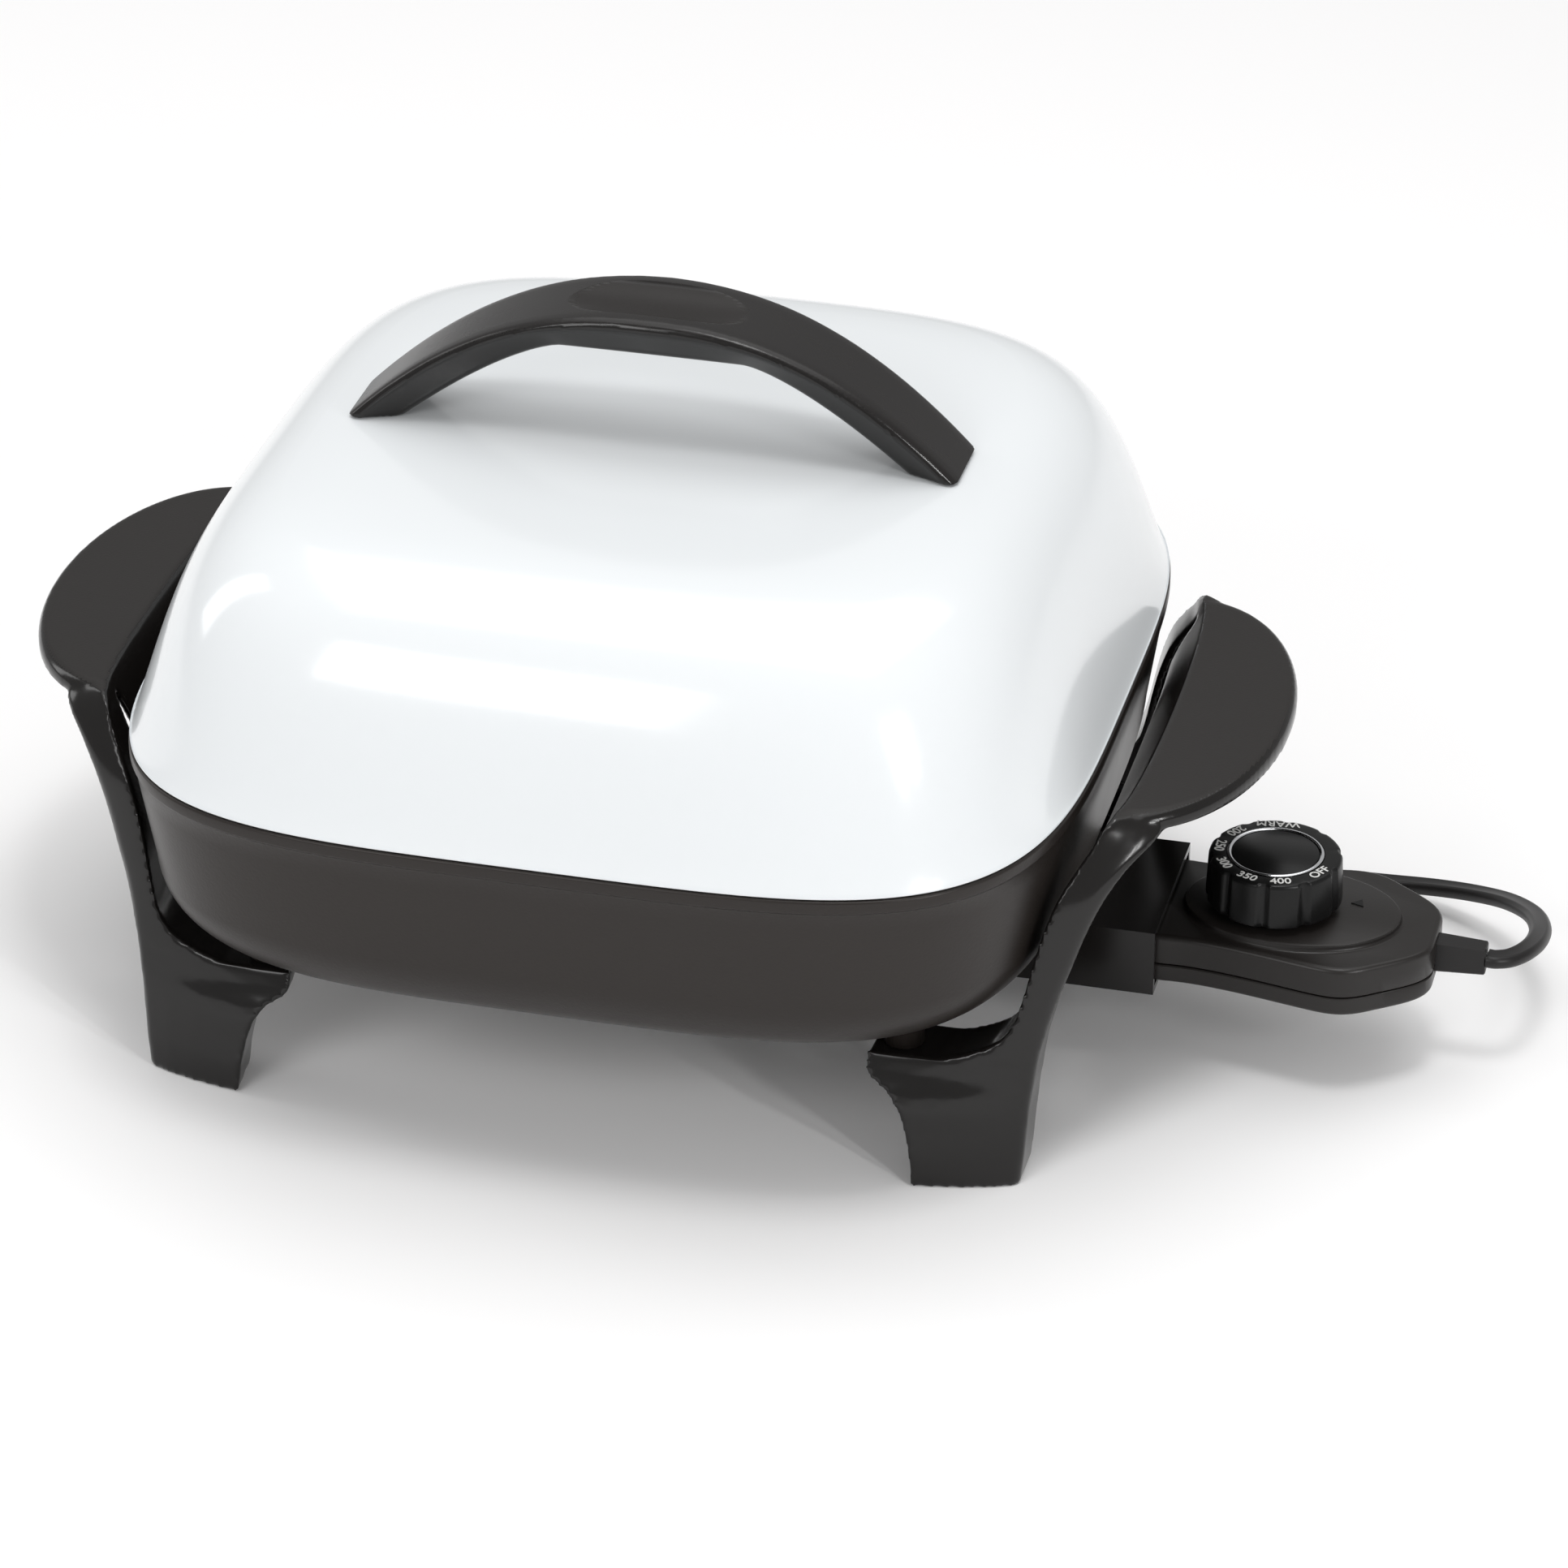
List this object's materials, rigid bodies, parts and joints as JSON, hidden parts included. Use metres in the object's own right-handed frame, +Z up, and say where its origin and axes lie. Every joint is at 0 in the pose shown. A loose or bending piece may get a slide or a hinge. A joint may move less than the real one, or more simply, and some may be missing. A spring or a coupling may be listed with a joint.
{
  "type": "electric skillet",
  "caption": "Square electric skillet with a high domed white lid, arched lid handle, crescent side grips on splayed legs and a plug-in heat control with a dial.",
  "frame": {"origin": "on the table under the middle of the object's footprint box, the cord left out", "axes": "+X towards the heat control, +Y towards the rear, +Z up"},
  "size_m": [0.4663, 0.3877, 0.226],
  "materials": {
    "nonstick": "satin charcoal nonstick coating on cast aluminium",
    "enamel": "glossy cool white enamel",
    "phenolic": "near-black moulded phenolic, glossy flanks and finely matte tops",
    "control_plastic": "satin black moulded plastic",
    "dial_plastic": "glossy black",
    "chrome": "bright silver trim",
    "steel": "plated steel",
    "sheath": "dull oxidised element sheath",
    "brass": "plain brass",
    "ceramic": "unglazed",
    "cord_rubber": "black flexible vinyl",
    "tie": "black strap"
  },
  "bodies": {
    "base": {"pan": "nonstick", "heating_element": "sheath", "handle_leg_right": "phenolic", "handle_leg_left": "phenolic", "handle_screw_front_left": "steel", "handle_screw_rear_left": "steel", "handle_screw_front_right": "steel", "handle_screw_rear_right": "steel", "element_seal_front": "ceramic", "element_seal_rear": "ceramic", "terminal_pin_front": "steel", "terminal_pin_rear": "steel", "probe_guard": "phenolic", "guard_screw_front": "steel", "guard_screw_rear": "steel"},
    "lid": {"lid_dome": "enamel", "lid_handle": "phenolic", "lid_washer_left": "steel", "lid_washer_right": "steel", "lid_screw_left": "steel", "lid_screw_right": "steel"},
    "heat_control": {"control_housing_top": "control_plastic", "control_housing_bottom": "control_plastic", "housing_screw_front": "steel", "housing_screw_rear": "steel", "housing_screw_end": "steel", "probe_tube": "steel", "probe_rod": "brass", "socket_contact_front": "brass", "socket_contact_rear": "brass", "terminal_block": "ceramic", "contact_blade_lower": "brass", "contact_blade_upper": "brass", "blade_stack": "ceramic", "strain_relief": "cord_rubber", "cord": "cord_rubber", "cord_coil": "cord_rubber", "cord_tie": "tie", "plug_body": "cord_rubber", "plug_blade_front": "brass", "plug_blade_rear": "brass"},
    "dial": {"dial_spindle": "steel", "dial_knob": "dial_plastic", "dial_ring": "chrome", "dial_cap": "dial_plastic"}
  },
  "joints": [
    {"name": "lid_lift", "type": "slide", "parent": "base", "child": "lid", "axis": [0, 0, 1], "range_m": [0, 0.15]},
    {"name": "heat_control_pull", "type": "slide", "parent": "base", "child": "heat_control", "axis": [1, 0, 0], "range_m": [0, 0.08]},
    {"name": "dial_turn", "type": "hinge", "parent": "heat_control", "child": "dial", "pos_m": [0.1597, 0, 0.05], "axis": [0, 0, 1], "range_deg": [-315, 0]}
  ]
}
